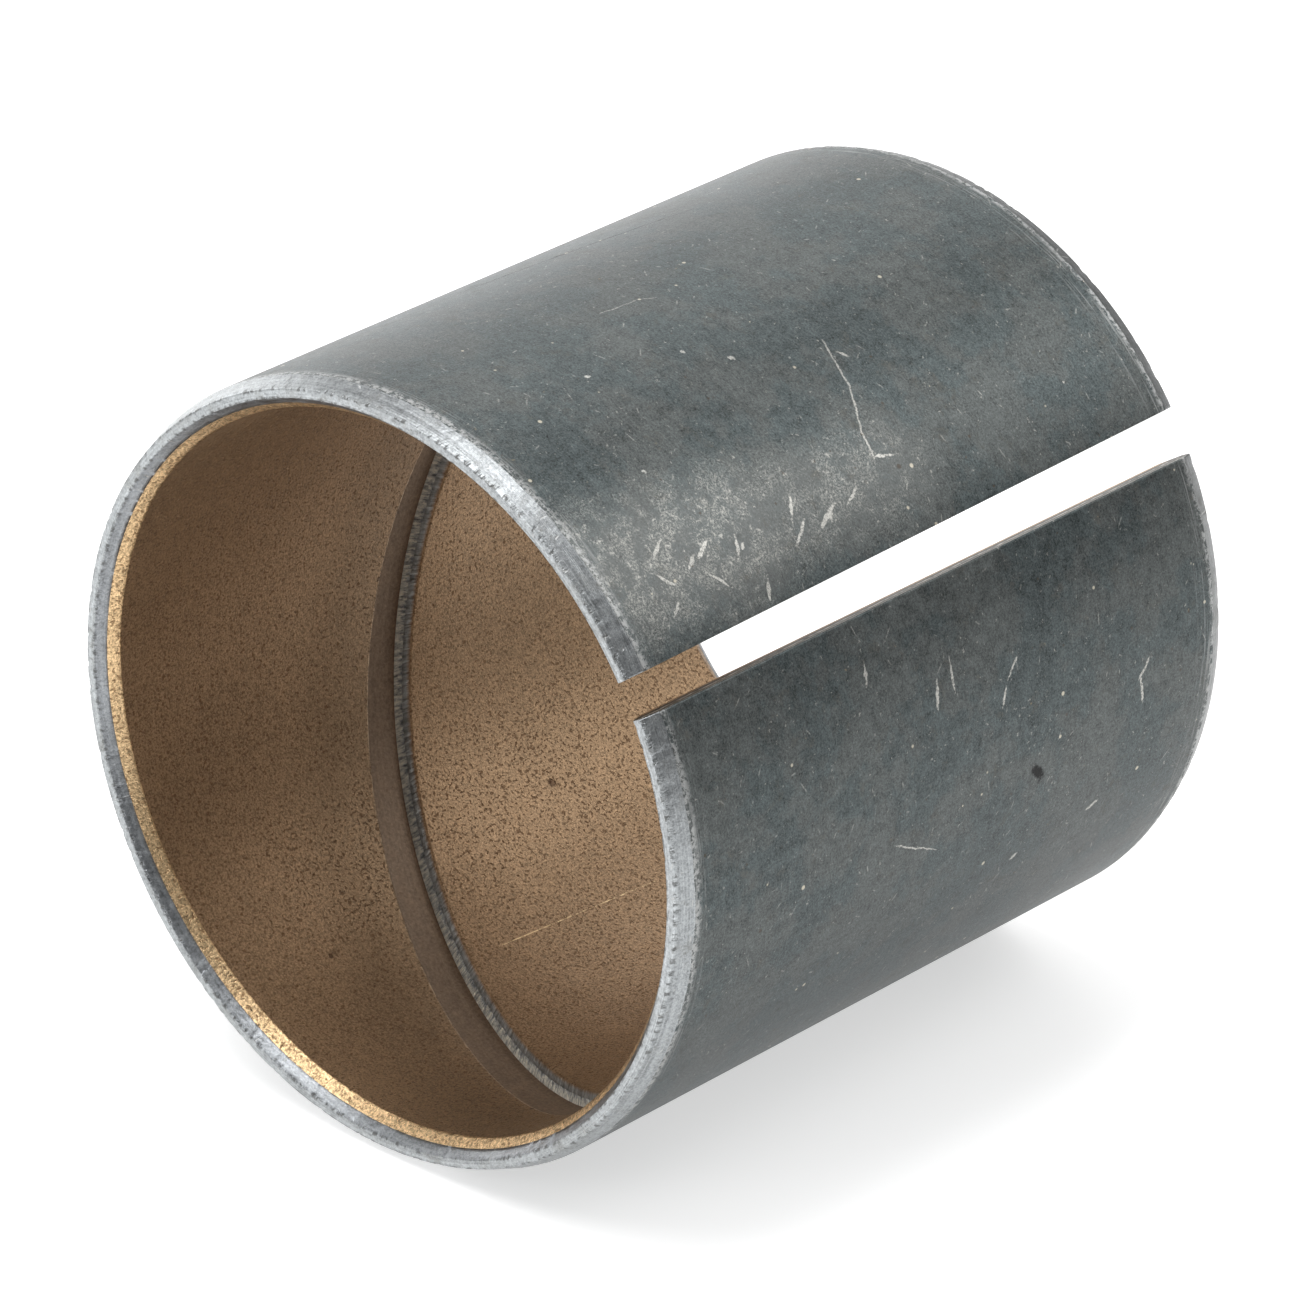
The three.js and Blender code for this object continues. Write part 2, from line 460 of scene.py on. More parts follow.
def build_groove_floor(materials):
    """The strip of lining at the bottom of the groove, with raised edges and a faint hollow.

    Each point of its section is (radius, place along Y, share of the unevenness).
    """
    stations = np.nonzero(IN_GROOVE)[0]
    half = groove_half_width(FLOOR_RADIUS) - STRIP_CLEARANCE
    foot = groove_half_width(POCKET_RADIUS) - STRIP_CLEARANCE
    uneven = 0.012 * wander(AROUND, 3.1, 51)
    section = [
        (FLOOR_RADIUS - STRIP_EDGE, -half, 1),
        (FLOOR_RADIUS, -half * 0.93, 1),
        (FLOOR_RADIUS + STRIP_HOLLOW * 0.7, -half * 0.5, 1),
        (FLOOR_RADIUS + STRIP_HOLLOW, 0 * half, 1),
        (FLOOR_RADIUS + STRIP_HOLLOW * 0.7, half * 0.5, 1),
        (FLOOR_RADIUS, half * 0.93, 1),
        (FLOOR_RADIUS - STRIP_EDGE, half, 1),
        (POCKET_RADIUS - BOND_GAP, foot, 0),
        (POCKET_RADIUS - BOND_GAP, 0 * foot, 0),
        (POCKET_RADIUS - BOND_GAP, -foot, 0),
    ]
    radius = np.stack([r + share * uneven for r, _, share in section], 1)
    y = np.stack([GROOVE_MIDDLE + across for _, across, _ in section], 1)
    grid = place(radius, y)[stations]
    skin = Skin()
    index = skin.add_points(grid)
    ring = np.concatenate([index, index[:, :1]], 1)
    skin.add_grid(ring, 0)
    skin.faces += [index[0, ::-1].tolist(), index[-1].tolist()]
    skin.regions += [0, 0]
    return skin.piece("groove_floor_strip", materials)


def face_outwards(piece):
    """Flips every face if the closed mesh is inside out."""
    mesh = piece.data
    mesh.calc_loop_triangles()
    corners = np.zeros(len(mesh.loop_triangles) * 3, np.int32)
    mesh.loop_triangles.foreach_get("vertices", corners)
    points = np.zeros(len(mesh.vertices) * 3)
    mesh.vertices.foreach_get("co", points)
    a, b, c = points.reshape(-1, 3)[corners.reshape(-1, 3)].transpose(1, 0, 2)
    if np.einsum("ij,ij->i", a, np.cross(b, c)).sum() < 0:
        mesh.flip_normals()


# ---------------------------------------------------------------- materials

SEAM_TURN = 211  # degrees: turns the developed surface so that its cut lies in the open seam


class Shader:
    """One material's nodes. Its methods add nodes and return an output socket, in millimetres."""

    def __init__(self, name):
        self.material = bpy.data.materials.new(name)
        self.material.use_nodes = True
        self.tree = self.material.node_tree
        self.surface = self.tree.nodes["Principled BSDF"]
        self.find_coordinates()

    def node(self, kind, inputs, **settings):
        node = self.tree.nodes.new(kind)
        for key, value in settings.items():
            setattr(node, key, value)
        for key, value in inputs.items():
            if isinstance(value, bpy.types.NodeSocket):
                self.tree.links.new(value, node.inputs[key])
            else:
                node.inputs[key].default_value = value
        return node

    def math(self, operation, a, b=0.0, clamp=False):
        node = self.node("ShaderNodeMath", {0: a, 1: b}, operation=operation, use_clamp=clamp)
        return node.outputs[0]

    def vector(self, operation, a, b=(0, 0, 0)):
        node = self.node("ShaderNodeVectorMath", {0: a, 1: b}, operation=operation)
        return node.outputs["Value" if operation in ("DOT_PRODUCT", "LENGTH") else "Vector"]

    def combine(self, x, y, z=0.0):
        return self.node("ShaderNodeCombineXYZ", {0: x, 1: y, 2: z}).outputs[0]

    def separate(self, vector):
        return self.node("ShaderNodeSeparateXYZ", {0: vector}).outputs

    def scaled(self, vector, x, y, z=1.0):
        return self.vector("MULTIPLY", vector, (x, y, z))

    def find_coordinates(self):
        """Place in millimetres, and the developed surface: round the shell and along it."""
        own = self.tree.nodes.new("ShaderNodeTexCoord").outputs["Object"]
        self.place = self.vector("MULTIPLY", own, (1 / MM, 1 / MM, 1 / MM))
        turn = np.radians(SEAM_TURN)
        x = self.vector("DOT_PRODUCT", self.place, (np.cos(turn), 0, np.sin(turn)))
        z = self.vector("DOT_PRODUCT", self.place, (-np.sin(turn), 0, np.cos(turn)))
        around = self.math("MULTIPLY", self.math("ARCTAN2", z, x), OUTER_RADIUS)
        self.along = self.separate(self.place)[1]
        self.around = around
        self.flat = self.combine(around, self.along)
        self.drawn = self.flat  # where marks are drawn, once it has been bent
        from_axis = self.vector("MULTIPLY", self.place, (1, 0, 1))
        self.radius = self.vector("LENGTH", from_axis)
        for wave in (OVAL, TRILOBE):
            turns = self.math("MULTIPLY", around, wave["lobes"] / OUTER_RADIUS)
            phase = np.radians(wave["lobes"] * (SEAM_TURN - wave["at"]))
            swell = self.math("COSINE", self.math("ADD", turns, phase))
            swell = self.math("MULTIPLY", swell, wave["amplitude"])
            self.radius = self.math("SUBTRACT", self.radius, swell)

    def across_groove(self):
        """How far a place is from the groove's middle line, along Y."""
        helix = self.math("MULTIPLY", self.around, GROOVE_LEAD / (2 * np.pi * OUTER_RADIUS))
        start = (SEAM_TURN - GROOVE_MIDDLE_ANGLE) / 360 * GROOVE_LEAD
        return self.total(self.along, helix, start)

    def noise(self, vector, scale, detail=2.0, roughness=0.5):
        inputs = {"Vector": vector, "Scale": scale, "Detail": detail, "Roughness": roughness}
        return self.node("ShaderNodeTexNoise", inputs).outputs[0]

    def ramp(self, value, low, high, to_low=0.0, to_high=1.0):
        """A smooth step from to_low, where value is low, to to_high, where it is high."""
        inputs = {"Value": value, "From Min": low, "From Max": high}
        inputs |= {"To Min": to_low, "To Max": to_high}
        node = self.node("ShaderNodeMapRange", inputs, interpolation_type="SMOOTHSTEP")
        return node.outputs[0]

    def mix(self, share, a, b):
        """Colour a where share is 0 and colour b where it is 1."""
        a, b = (value if isinstance(value, bpy.types.NodeSocket) else (*value, 1) for value in (a, b))
        node = self.node("ShaderNodeMix", {0: share, 6: a, 7: b}, data_type="RGBA")
        return node.outputs[2]

    def shade(self, colour, factor):
        """A colour made darker or lighter by a factor."""
        if not isinstance(colour, bpy.types.NodeSocket):
            colour = self.combine(*colour)
        node = self.node("ShaderNodeVectorMath", {0: colour, "Scale": factor}, operation="SCALE")
        return node.outputs["Vector"]

    def total(self, *terms):
        result = terms[0]
        for term in terms[1:]:
            result = self.math("ADD", result, term)
        return result

    def about(self, value, swing):
        """Noise from 0 to 1 turned into a swing about zero."""
        return self.math("MULTIPLY", self.math("SUBTRACT", value, 0.5), swing * 2)

    def strongest(self, *masks):
        result = masks[0]
        for mask in masks[1:]:
            result = self.math("MAXIMUM", result, mask)
        return result

    def times(self, *factors):
        result = factors[0]
        for factor in factors[1:]:
            result = self.math("MULTIPLY", result, factor)
        return result

    def line(self, start, end, width, blur=None):
        """A mask that is 1 on a straight mark between two (angle, y) places on the outside."""
        a, b = (developed(*point) for point in (start, end))
        span = b - a
        offset = self.vector("SUBTRACT", self.drawn, (*a, 0))
        length = float(np.hypot(*span))
        share = self.vector("DOT_PRODUCT", offset, (*(span / length**2), 0))
        share = self.math("MULTIPLY", share, 1.0, clamp=True)
        foot = self.combine(
            self.math("MULTIPLY", share, float(span[0])),
            self.math("MULTIPLY", share, float(span[1])),
        )
        distance = self.vector("LENGTH", self.vector("SUBTRACT", offset, foot))
        return self.ramp(distance, width * 0.5, width * 0.5 + (blur or width * 0.6), 1, 0)

    def ovals(self, where, places):
        """How far the nearest of several slim oval marks is: 0 at its middle and 1 at its edge."""
        nearest = None
        for start, end, width in places:
            a, b = developed(*start), developed(*end)
            span = b - a
            inputs = {
                "Vector": where,
                "Location": (*((a + b) / 2), 0),
                "Rotation": (0, 0, float(np.arctan2(span[1], span[0]))),
                "Scale": (float(np.hypot(*span)) / 2, width / 2, 1),
            }
            mapped = self.node("ShaderNodeMapping", inputs, vector_type="TEXTURE").outputs[0]
            distance = self.vector("LENGTH", mapped)
            nearest = self.math("MINIMUM", nearest, distance) if nearest else distance
        return nearest

    def bent(self, vector, pitch, amount):
        """A place moved about by smooth noise, so that what is drawn there gets uneven edges."""
        inputs = {"Vector": self.place, "Scale": 1 / pitch, "Detail": 2.0, "Roughness": 0.6}
        noise = self.node("ShaderNodeTexNoise", inputs).outputs["Color"]
        offset = self.vector("SUBTRACT", noise, (0.5, 0.5, 0.5))
        return self.vector("ADD", vector, self.scaled(offset, 2 * amount, 2 * amount, 0))

    def chain(self, points, width):
        """A mask of straight marks end to end."""
        mask = None
        for a, b in zip(points, points[1:]):
            mark = self.line(a, b, width)
            mask = self.strongest(mask, mark) if mask else mark
        return mask

    def scratches(self, cell, length, width, share, lean, spread):
        """A mask of random short marks, at most one in each cell of the developed surface.

        lean is their direction in degrees from the way round, give or take spread.
        """
        where = self.scaled(self.flat, 1 / cell, 1 / cell)
        voronoi = self.node(
            "ShaderNodeTexVoronoi", {"Vector": where, "Scale": 1.0}, voronoi_dimensions="2D"
        )
        offset = self.vector("SUBTRACT", where, voronoi.outputs["Position"])
        chance = self.separate(voronoi.outputs["Color"])
        swing = self.math("MULTIPLY", self.math("SUBTRACT", chance[0], 0.5), np.radians(2 * spread))
        angle = self.math("ADD", swing, np.radians(lean))
        cos, sin = self.math("COSINE", angle), self.math("SINE", angle)
        x, y, _ = self.separate(offset)
        ahead = self.math("ADD", self.times(x, cos), self.times(y, sin))
        aside = self.math("SUBTRACT", self.times(y, cos), self.times(x, sin))
        reach = self.math("MULTIPLY", self.ramp(chance[1], 0, 1, 0.35, 1), length / cell / 2)
        over = self.math("SUBTRACT", self.math("ABSOLUTE", ahead), reach)
        within = self.ramp(over, -0.3 * length / cell, 0.02, 1, 0)
        thin = self.ramp(self.math("ABSOLUTE", aside), 0.15 * width / cell, 0.75 * width / cell, 1, 0)
        present = self.math("LESS_THAN", chance[2], share)
        return self.times(within, thin, present)

    def dots(self, cell, size, share, where=None):
        """A mask of random round dots, at most one in each cell."""
        where = self.scaled(where or self.place, 1 / cell, 1 / cell, 1 / cell)
        voronoi = self.node("ShaderNodeTexVoronoi", {"Vector": where, "Scale": 1.0})
        chance = self.separate(voronoi.outputs["Color"])
        reach = self.math("MULTIPLY", self.ramp(chance[1], 0, 1, 0.4, 1), size / cell / 2)
        inside = self.math("DIVIDE", voronoi.outputs["Distance"], reach)
        return self.times(self.ramp(inside, 0.6, 1.1, 1, 0), self.math("LESS_THAN", chance[2], share))

    def finish(self, colour, metallic, roughness, height):
        """Connects the shader. height is in millimetres."""
        for name, value in (("Base Color", colour), ("Roughness", roughness)):
            self.tree.links.new(value, self.surface.inputs[name])
        self.surface.inputs["Metallic"].default_value = metallic
        bump = self.node("ShaderNodeBump", {"Height": height, "Distance": MM, "Strength": 1.0})
        self.tree.links.new(bump.outputs[0], self.surface.inputs["Normal"])
        return self.material


def developed(angle, y):
    """A place on the outside as the developed surface's two coordinates."""
    turn = (angle - SEAM_TURN + 180) % 360 - 180
    return np.array([np.radians(turn) * OUTER_RADIUS, y])


# Marks on the outside, where the real one has them: (angle, y) of both ends and the width
BRIGHT_MARKS = (
    ((44.4, -15.3), (41.9, -15.9), 0.26),
    ((43.4, -14.9), (42.6, -15.3), 0.3),
    ((42.8, -5.4), (40.7, -7.6), 0.34),
    ((42.2, -5.9), (41.2, -6.4), 0.4),
    ((42.4, -8.8), (40.2, -10.3), 0.26),
    ((46.3, -8.7), (44.0, -9.4), 0.24),
    ((45.8, -17.8), (44.0, -19.4), 0.28),
    ((44.5, -19.7), (43.5, -20.5), 0.34),
    ((44.2, -23.6), (42.2, -22.6), 0.24),
    ((37.4, -14.5), (35.1, -15.1), 0.28),
    ((43.6, -2.6), (42.2, -4.0), 0.22),
    ((48.7, -21.4), (46.6, -23.0), 0.22),
    ((39.8, -23.1), (38.2, -24.0), 0.24),
    ((41.2, -19.1), (39.0, -18.1), 0.2),
    ((374.4, -1.8), (370.8, -2.1), 0.26),
    ((376.4, -0.1), (372.2, -0.1), 0.18),
    ((362.6, 21.5), (360.0, 20.4), 0.24),
    ((360.2, 20.6), (356.6, 20.9), 0.22),
    ((372.6, 6.9), (370.1, 5.7), 0.2),
    ((369.0, 5.4), (366.6, 4.9), 0.2),
    ((381.3, -8.6), (378.6, -8.9), 0.2),
    ((352.9, -6.7), (349.1, -2.4), 0.12),
    ((341.6, 17.6), (340.8, 16.6), 0.3),
    ((338.9, 8.9), (338.4, 8.3), 0.34),
    ((68.7, -4.2), (68.0, -4.0), 0.32),
    ((72.9, -7.0), (72.4, -6.8), 0.34),
    ((75.8, -15.6), (75.4, -15.4), 0.3),
    ((58.2, -18.9), (57.8, -18.7), 0.3),
    ((20.3, -8.8), (19.7, -8.6), 0.36),
    ((62.4, 4.2), (61.1, 4.7), 0.22),
    ((46.4, 0.5), (45.6, 2.2), 0.2),
)
# The same for two bent scratches, as points from end to end
LONG_SCRATCH = ((65.0, 4.0), (61.2, 3.3), (57.0, 2.7), (53.2, 1.7), (50.2, 0.8), (46.3, 0.5))
CREASE = ((86.2, -8.1), (85.8, -6.2), (85.7, -4.6), (84.5, -3.1))
# A pit and a thin line along the top
DARK_MARKS = (
    ((355.0, 8.2), (351.5, 9.8), 1.0),
    ((114.0, -11.0), (104.0, 13.0), 0.16),
)


def rolled_steel():
    """The outside: dark blue-grey strip, cloudy, finely grained, flecked, nicked and scratched."""
    s = Shader("rolled_steel")
    mottle = s.noise(s.place, 0.85, 6, 0.82)
    grain = s.noise(s.place, 6.0, 3, 0.85)
    clouds = s.noise(s.place, 0.16, 7, 0.66)
    streaks = s.noise(s.scaled(s.flat, 1.1, 0.12), 1.0, 4, 0.7)
    brushed = s.noise(s.scaled(s.flat, 0.5, 4.5), 1.0, 3, 0.7)
    tone = s.total(1.0, s.about(clouds, 0.42), s.about(streaks, 0.2), s.about(mottle, 1.05))
    tone = s.total(tone, s.about(brushed, 0.25), s.about(grain, 1.5))
    colour = s.mix(s.ramp(clouds, 0.45, 0.55), (0.080, 0.095, 0.0965), (0.091, 0.0995, 0.098))
    colour = s.shade(colour, tone)

    # Worn places: crowded bright grains, on a band that is also lightened as a painted highlight,
    # strongest towards the front
    highlight_and_wear_band = s.strongest(
        s.line((47, -28), (45, -15), 4.0, 6.5), s.times(s.line((45, -15), (44, 1), 2.5, 5.0), 0.7)
    )
    wear_and_highlight = s.times(highlight_and_wear_band, s.ramp(s.noise(s.place, 0.4, 6, 0.75), 0.43, 0.57))
    # Painted highlight: the whole band is lightened
    colour = s.mix(s.times(highlight_and_wear_band, 0.45), colour, (0.17, 0.175, 0.170))
    colour = s.mix(s.times(wear_and_highlight, s.ramp(grain, 0.44, 0.64, 0.0, 0.85)), colour, (0.34, 0.34, 0.315))

    stained = s.times(
        s.ramp(s.noise(s.place, 0.45, 6, 0.8), 0.56, 0.66), s.ramp(grain, 0.4, 0.6, 0.1, 1)
    )
    colour = s.mix(s.times(stained, 0.42), colour, (0.118, 0.103, 0.082))
    specks = s.times(s.dots(0.8, 0.3, 0.5), stained)
    colour = s.mix(s.times(specks, 0.8), colour, (0.34, 0.26, 0.16))
    rust = s.strongest(s.dots(1.1, 0.3, 0.2), s.dots(2.6, 0.5, 0.12))
    colour = s.mix(s.times(rust, 0.6), colour, (0.07, 0.05, 0.034))
    colour = s.mix(s.times(s.dots(1.7, 0.42, 0.26), 0.9), colour, (0.52, 0.48, 0.39))

    field = s.noise(s.place, 2.3, 4, 0.75)
    flecks = s.ramp(s.total(field, s.times(wear_and_highlight, 0.07)), 0.63, 0.70)
    colour = s.mix(s.times(flecks, 0.8), colour, (0.36, 0.355, 0.33))

    # Each kind of mark joins the mask before the next is made, to keep the shader small
    s.drawn = s.bent(s.flat, 0.8, 0.2)
    uneven = s.total(s.ovals(s.drawn, BRIGHT_MARKS), s.about(field, 1.1))
    bright = s.ramp(uneven, 0.8, 1.4, 0.95, 0)
    bright = s.strongest(bright, s.times(s.chain(LONG_SCRATCH, 0.1), 0.75))
    bright = s.strongest(bright, s.times(s.chain(CREASE, 0.06), 0.45))
    bright = s.strongest(bright, s.times(s.scratches(4.2, 1.2, 0.11, 0.35, 12, 45), 0.4))
    bright = s.strongest(bright, s.times(s.scratches(1.9, 0.7, 0.12, 0.2, 0, 80), 0.4))
    crowd = s.times(s.scratches(1.3, 0.8, 0.13, 0.45, 60, 60), wear_and_highlight)
    bright = s.strongest(bright, s.times(crowd, 0.8))
    bright = s.times(bright, s.ramp(grain, 0.36, 0.58, 0.25, 1))
    colour = s.mix(bright, colour, (0.52, 0.51, 0.475))

    dark = s.times(s.scratches(2.3, 1.0, 0.16, 0.35, 75, 60), s.ramp(field, 0.4, 0.6))
    pits = s.ramp(s.total(s.ovals(s.drawn, DARK_MARKS), s.about(field, 0.8)), 0.5, 1.1, 1, 0)
    colour = s.mix(s.times(dark, 0.5), colour, (0.03, 0.03, 0.03))
    colour = s.mix(pits, colour, (0.008, 0.008, 0.008))

    # Handling and turning wear near the rims, and the chamfers' worn outer edges
    front = s.ramp(s.along, -HALF + 1.6, -HALF + 3.6, 1, 0)
    near_rims = s.strongest(front, s.ramp(s.along, HALF - 3.8, HALF - 1.3))
    rings = s.noise(s.scaled(s.flat, 0.16, 4.5), 1.0, 4, 0.7)
    ringed = s.times(near_rims, s.ramp(rings, 0.5, 0.66), 0.65)
    edge = s.strongest(
        s.ramp(s.along, -HALF + 1.75, -HALF + 2.5, 1, 0), s.ramp(s.along, HALF - 1.8, HALF - 1.3)
    )
    edge = s.times(edge, s.ramp(field, 0.44, 0.56), 0.9)
    colour = s.mix(s.strongest(ringed, edge), colour, (0.40, 0.405, 0.40))

    roughness = s.total(0.46, s.about(clouds, 0.08), s.about(mottle, 0.2), s.times(stained, 0.1))
    height = s.total(
        s.about(mottle, 0.012), s.about(grain, 0.006), s.times(crowd, -0.01), s.times(pits, -0.05)
    )
    return s.finish(colour, 0.92, roughness, height)


def turning_lines(s, pitch):
    """Fine lines round the axis, left by a lathe tool, that change slowly on the way round."""
    across = s.total(s.along, s.radius)
    where = s.combine(s.times(s.around, 0.035), s.times(across, 1 / pitch))
    return s.noise(where, 1.0, 3, 0.65)


def turned_steel():
    """Chamfers and end faces: bright steel with turning lines, nicks and a little tarnish."""
    s = Shader("turned_steel")
    s.flat = s.combine(s.around, s.total(s.along, s.radius))
    lines = turning_lines(s, 0.14)
    broad = turning_lines(s, 0.6)
    mottle = s.noise(s.place, 1.4, 5, 0.75)
    sparkle = s.noise(s.place, 5.0, 2, 0.8)
    tarnish = s.ramp(s.noise(s.place, 0.35, 5, 0.7), 0.5, 0.7)
    tone = s.total(1.0, s.about(lines, 0.6), s.about(broad, 0.4), s.about(mottle, 0.6))
    tone = s.total(tone, s.about(sparkle, 0.7))
    colour = s.shade((0.41, 0.43, 0.44), tone)
    colour = s.mix(s.times(tarnish, 0.3), colour, (0.2, 0.19, 0.16))
    grubby = s.times(s.ramp(mottle, 0.54, 0.64), s.ramp(lines, 0.4, 0.6))
    colour = s.mix(s.times(grubby, 0.6), colour, (0.13, 0.125, 0.115))

    # The inner chamfer is bluer, and the outer chamfer and the rear rim are duller
    inside = s.ramp(s.radius, FACE_MIDDLE_RADIUS - 0.04, FACE_MIDDLE_RADIUS + 0.06, 1, 0)
    inner = s.times(inside, s.ramp(s.along, -HALF + 0.02, -HALF + 0.06))
    colour = s.mix(inner, colour, s.shade((0.315, 0.33, 0.345), tone))
    colour = s.shade(colour, s.ramp(s.radius, FACE_OUTER_RADIUS, FACE_OUTER_RADIUS + 0.1, 1, 0.84))
    colour = s.mix(s.ramp(s.along, 0, 1, 0, 0.6), colour, (0.12, 0.12, 0.115))

    # Edges: the face's borders are chipped
    chips = s.ramp(s.noise(s.combine(s.times(s.around, 1.7), s.radius), 1.0, 4, 0.75), 0.5, 0.6)
    from_rims = (
        s.math("ABSOLUTE", s.math("SUBTRACT", s.radius, rim))
        for rim in (FACE_INNER_RADIUS, FACE_OUTER_RADIUS)
    )
    rims = s.strongest(*(s.ramp(distance, 0.05, 0.2, 1, 0) for distance in from_rims))
    colour = s.mix(s.times(rims, chips, 0.75), colour, (0.10, 0.10, 0.095))
    nicks = s.scratches(1.5, 0.7, 0.12, 0.3, 60, 60)
    colour = s.mix(s.times(nicks, 0.5), colour, (0.6, 0.6, 0.58))
    dark = s.dots(1.6, 0.3, 0.2)
    colour = s.mix(s.times(dark, 0.6), colour, (0.09, 0.08, 0.07))
    roughness = s.total(0.36, s.about(mottle, 0.16), s.about(lines, 0.1), s.times(tarnish, 0.12))
    height = s.total(s.about(lines, 0.012), s.about(broad, 0.016), s.about(mottle, 0.02))
    height = s.total(height, s.about(sparkle, 0.006), s.times(nicks, -0.02), s.times(rims, chips, -0.03))
    return s.finish(colour, 1.0, roughness, height)


def pressed_steel():
    """The groove's walls and pocket: steel torn and smeared by the die, ridged across the wall."""
    s = Shader("pressed_steel")
    ridges = s.noise(s.combine(s.times(s.around, 3.0), s.times(s.radius, 0.9)), 1.0, 5, 0.75)
    mottle = s.noise(s.place, 1.8, 4, 0.7)
    tone = s.total(1.0, s.about(ridges, 1.5), s.about(mottle, 0.8))
    colour = s.shade((0.32, 0.33, 0.335), tone)
    # Bright cream on the ridges near the floor: worn steel and a painted highlight
    ragged = s.total(s.radius, s.about(ridges, 0.7), s.about(mottle, 0.8))
    low = s.ramp(ragged, FLOOR_RADIUS - 0.8, FLOOR_RADIUS - 0.2)
    wear_and_highlight = s.times(low, s.ramp(ridges, 0.36, 0.66, 0.1, 0.85))
    colour = s.mix(wear_and_highlight, colour, (0.92, 0.85, 0.70))
    roughness = s.total(0.5, s.about(mottle, 0.2), s.times(wear_and_highlight, -0.12))
    height = s.total(s.about(ridges, 0.12), s.about(mottle, 0.04))
    return s.finish(colour, 1.0, roughness, height)


def sheared_steel():
    """The strip's cut ends at the seam: dull, streaked along, with worn bright lines outside."""
    s = Shader("sheared_steel")
    wavy = s.noise(s.combine(s.times(s.along, 0.3), 0.0), 1.0, 3, 0.6)
    depth = s.total(s.radius, s.about(wavy, 0.7))
    streaks = s.noise(s.combine(s.times(s.along, 0.3), s.times(depth, 1.6)), 1.0, 4, 0.65)
    mottle = s.noise(s.place, 1.4, 5, 0.75)
    tone = s.total(1.0, s.about(streaks, 2.0), s.about(mottle, 1.0))
    colour = s.shade((0.085, 0.078, 0.068), tone)
    broken = s.ramp(s.noise(s.combine(s.times(s.along, 0.9), 0.0), 1.0, 5, 0.75), 0.38, 0.52)
    edge = s.ramp(s.radius, OUTER_RADIUS - 0.3, OUTER_RADIUS - 0.12)
    second = s.times(
        s.ramp(depth, OUTER_RADIUS - 1.25, OUTER_RADIUS - 1.0),
        s.ramp(depth, OUTER_RADIUS - 0.95, OUTER_RADIUS - 0.7, 1, 0),
    )
    lines = s.strongest(s.times(edge, broken), s.times(second, s.ramp(mottle, 0.4, 0.6)))
    colour = s.mix(s.times(lines, 0.9), colour, (0.60, 0.58, 0.53))
    roughness = s.total(0.5, s.about(mottle, 0.14))
    height = s.total(s.about(streaks, 0.08), s.about(mottle, 0.03))
    return s.finish(colour, 1.0, roughness, height)


def pores(s):
    """A mask of the sintered lining's small dark pores."""
    where = s.combine(s.times(s.around, 1.15), s.along)
    field = s.noise(where, 3.0, 2, 0.6)
    gathered = s.about(s.noise(s.place, 0.35, 3, 0.6), 0.07)
    joined = s.ramp(s.math("SUBTRACT", field, gathered), 0.565, 0.64)
    where = s.bent(s.combine(s.times(s.around, 1.2), s.along, s.radius), 0.4, 0.14)
    return s.strongest(s.times(joined, 0.9), s.times(s.dots(0.7, 0.42, 0.45, where), 0.85))


def sintered_bronze():
    """The bore: satin tan and brown bronze, peppered with small dark pores."""
    s = Shader("sintered_bronze")
    fine = pores(s)
    large = s.dots(3.0, 0.8, 0.12, s.bent(s.place, 0.4, 0.25))
    clouds = s.noise(s.place, 0.13, 3, 0.55)
    mottle = s.noise(s.place, 1.1, 5, 0.75)
    grain = s.noise(s.place, 5.5, 2, 0.8)
    tone = s.total(1.0, s.about(clouds, 0.12), s.about(mottle, 0.4), s.about(grain, 1.2))
    colour = s.shade((0.318, 0.214, 0.127), tone)
    colour = s.mix(s.times(fine, 0.6), colour, (0.13, 0.066, 0.032))
    colour = s.mix(s.times(large, 0.75), colour, (0.07, 0.036, 0.02))
    scratch = s.line((249.3, -6.7), (251.5, 9.7), 0.07)
    broken = s.ramp(s.noise(s.place, 1.5, 3, 0.7), 0.42, 0.6)
    colour = s.mix(s.times(scratch, broken, 0.8), colour, (0.85, 0.65, 0.38))

    # Painted shade: darker on the front side of the groove
    across = s.across_groove()
    ahead = s.times(s.ramp(across, -15, -4), s.ramp(across, 0, 1, 1, 0))
    colour = s.shade(colour, s.ramp(ahead, 0, 1, 1, 0.76))

    # A thin bright line, broken up, along the groove's near edge
    from_edge = s.math("ABSOLUTE", s.math("ADD", across, GROOVE_WIDTH / 2 + 0.1))
    edge = s.times(s.ramp(from_edge, 0.03, 0.11, 1, 0), s.ramp(mottle, 0.46, 0.6))
    colour = s.mix(s.times(edge, 0.5), colour, (0.6, 0.48, 0.34))
    roughness = s.total(0.5, s.times(fine, 0.15), s.about(mottle, 0.14))
    height = s.total(
        s.times(fine, -0.022), s.times(large, -0.05), s.about(mottle, 0.02), s.about(grain, 0.012)
    )
    return s.finish(colour, 0.85, roughness, height)


def turned_bronze():
    """The lining's share of the inner chamfers: freshly cut gold metal with turning lines."""
    s = Shader("turned_bronze")
    lines = turning_lines(s, 0.16)
    fine = pores(s)
    mottle = s.noise(s.place, 1.6, 5, 0.75)
    sparkle = s.noise(s.place, 5.0, 2, 0.8)
    tone = s.total(1.0, s.about(lines, 0.5), s.about(mottle, 0.8), s.about(sparkle, 1.5))
    colour = s.shade((0.64, 0.455, 0.26), tone)
    colour = s.mix(s.times(fine, 0.7), colour, (0.24, 0.14, 0.07))
    roughness = s.total(0.36, s.about(mottle, 0.12), s.times(fine, 0.15))
    height = s.total(
        s.about(lines, 0.01), s.about(mottle, 0.02), s.about(sparkle, 0.02), s.times(fine, -0.02)
    )
    return s.finish(colour, 1.0, roughness, height)


